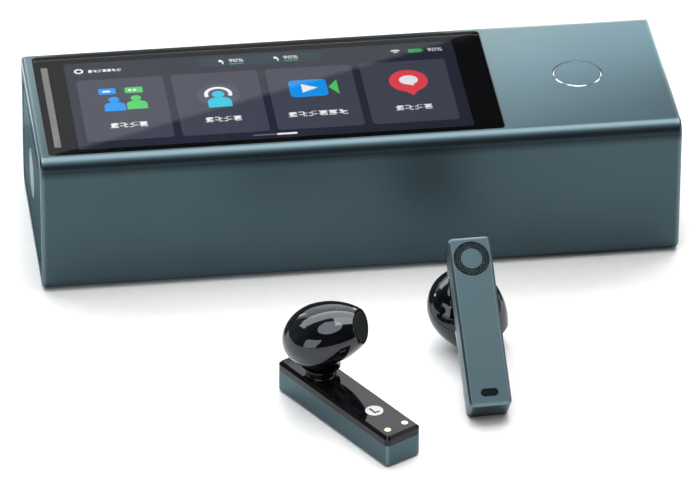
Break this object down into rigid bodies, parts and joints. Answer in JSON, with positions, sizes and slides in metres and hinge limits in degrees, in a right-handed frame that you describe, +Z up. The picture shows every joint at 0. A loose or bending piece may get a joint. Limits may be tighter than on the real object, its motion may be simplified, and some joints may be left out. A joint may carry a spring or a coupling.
{
  "type": "handheld translator",
  "caption": "Pocket translator: aluminium bar case with a glass screen, round top button and a hinged end door over two bays, with two half-in-ear earbuds lying beside it.",
  "frame": {"origin": "centre of the case's bottom face, on the surface it lies on", "axes": "+X along the case from the end door to the socket end, +Y to the case's back, +Z up through the screen"},
  "size_m": [0.118, 0.1051, 0.0276],
  "materials": {
    "case_aluminium": "fine bead-blasted, anodised blue-grey",
    "bud_aluminium": "fine bead-blasted, anodised blue-grey",
    "bud_black": "piano black",
    "screen_glass": "polished, black-printed behind",
    "screen": "lit liquid crystal display",
    "light_bar": "frosted diffuser",
    "polished_trim": "polished",
    "pale_disc": "polished, pale",
    "inner_plastic": "moulded, fine spark texture",
    "circuit_board": "solder mask",
    "battery_wrap": "foil wrap",
    "steel": "brushed",
    "flex_cable": "polyimide film",
    "gold_contact": "gold plated",
    "white_mark": "printed, gloss",
    "dark_mesh": "fine woven mesh",
    "window_black": "gloss",
    "rubber": "silicone"
  },
  "bodies": {
    "case": {"sleeve": "case_aluminium", "left_end_frame": "case_aluminium", "right_end_cap": "case_aluminium", "cover_glass": "screen_glass", "display_panel": "screen", "display_backplate": "steel", "light_bar": "light_bar", "button_ring": "polished_trim", "button_dome": "rubber", "switch_bracket": "inner_plastic", "main_board": "circuit_board", "shield_cans": "steel", "microphones": "steel", "display_cable": "flex_cable", "battery": "battery_wrap", "inner_chassis": "inner_plastic", "board_screws": "steel", "speaker": "window_black", "usb_socket": "steel", "earbud_cradle": "inner_plastic", "charging_board": "circuit_board", "pin_barrels": "gold_contact", "hinge_pin": "steel", "frame_magnets": "steel"},
    "door": {"end_door": "case_aluminium", "door_inner_cover": "inner_plastic", "door_magnets": "steel"},
    "release": {"release_button": "pale_disc"},
    "button": {"main_button": "case_aluminium"},
    "pin_1": {"charging_pin_1": "gold_contact"},
    "pin_2": {"charging_pin_2": "gold_contact"},
    "pin_3": {"charging_pin_3": "gold_contact"},
    "pin_4": {"charging_pin_4": "gold_contact"},
    "left_bud": {"left_bud_stem_shell": "bud_aluminium", "left_bud_stem_cover": "bud_black", "left_bud_head_base": "bud_black", "left_bud_head_shell": "bud_black", "left_bud_neck_ring": "polished_trim", "left_bud_nozzle_mesh": "dark_mesh", "left_bud_mic_ring_mesh": "dark_mesh", "left_bud_mic_window": "window_black", "left_bud_charge_contacts": "gold_contact", "left_bud_side_mark": "white_mark", "left_bud_cell": "battery_wrap", "left_bud_board": "circuit_board", "left_bud_driver": "steel"},
    "right_bud": {"right_bud_stem_shell": "bud_aluminium", "right_bud_stem_cover": "bud_black", "right_bud_head_base": "bud_black", "right_bud_head_shell": "bud_black", "right_bud_neck_ring": "polished_trim", "right_bud_nozzle_mesh": "dark_mesh", "right_bud_mic_ring_mesh": "dark_mesh", "right_bud_mic_window": "window_black", "right_bud_charge_contacts": "gold_contact", "right_bud_side_mark": "white_mark", "right_bud_cell": "battery_wrap", "right_bud_board": "circuit_board", "right_bud_driver": "steel"}
  },
  "joints": [
    {"name": "door_hinge", "type": "hinge", "parent": "case", "child": "door", "pos_m": [-0.0573, 0.01435, 0.01345], "axis": [0, 0, -1], "range_deg": [0, 90]},
    {"name": "release_press", "type": "slide", "parent": "door", "child": "release", "axis": [1, 0, 0], "range_m": [0, 0.0005], "stiffness_N_per_m": 400, "springref_m": -0.0005},
    {"name": "button_press", "type": "slide", "parent": "case", "child": "button", "axis": [0, 0, -1], "range_m": [0, 0.0004], "stiffness_N_per_m": 500, "springref_m": -0.0005, "deforming": ["button_dome"]},
    {"name": "pin_1_press", "type": "slide", "parent": "case", "child": "pin_1", "axis": [0, 0, 1], "range_m": [0, 0.0005], "stiffness_N_per_m": 150, "springref_m": -0.0005},
    {"name": "pin_2_press", "type": "slide", "parent": "case", "child": "pin_2", "axis": [0, 0, 1], "range_m": [0, 0.0005], "stiffness_N_per_m": 150, "springref_m": -0.0005},
    {"name": "pin_3_press", "type": "slide", "parent": "case", "child": "pin_3", "axis": [0, 0, 1], "range_m": [0, 0.0005], "stiffness_N_per_m": 150, "springref_m": -0.0005},
    {"name": "pin_4_press", "type": "slide", "parent": "case", "child": "pin_4", "axis": [0, 0, 1], "range_m": [0, 0.0005], "stiffness_N_per_m": 150, "springref_m": -0.0005},
    {"name": "left_bud_lift", "type": "slide", "parent": "case", "child": "left_bud", "axis": [0, 0, 1], "range_m": [0, 0.06]},
    {"name": "right_bud_lift", "type": "slide", "parent": "case", "child": "right_bud", "axis": [0, 0, 1], "range_m": [0, 0.06]}
  ]
}
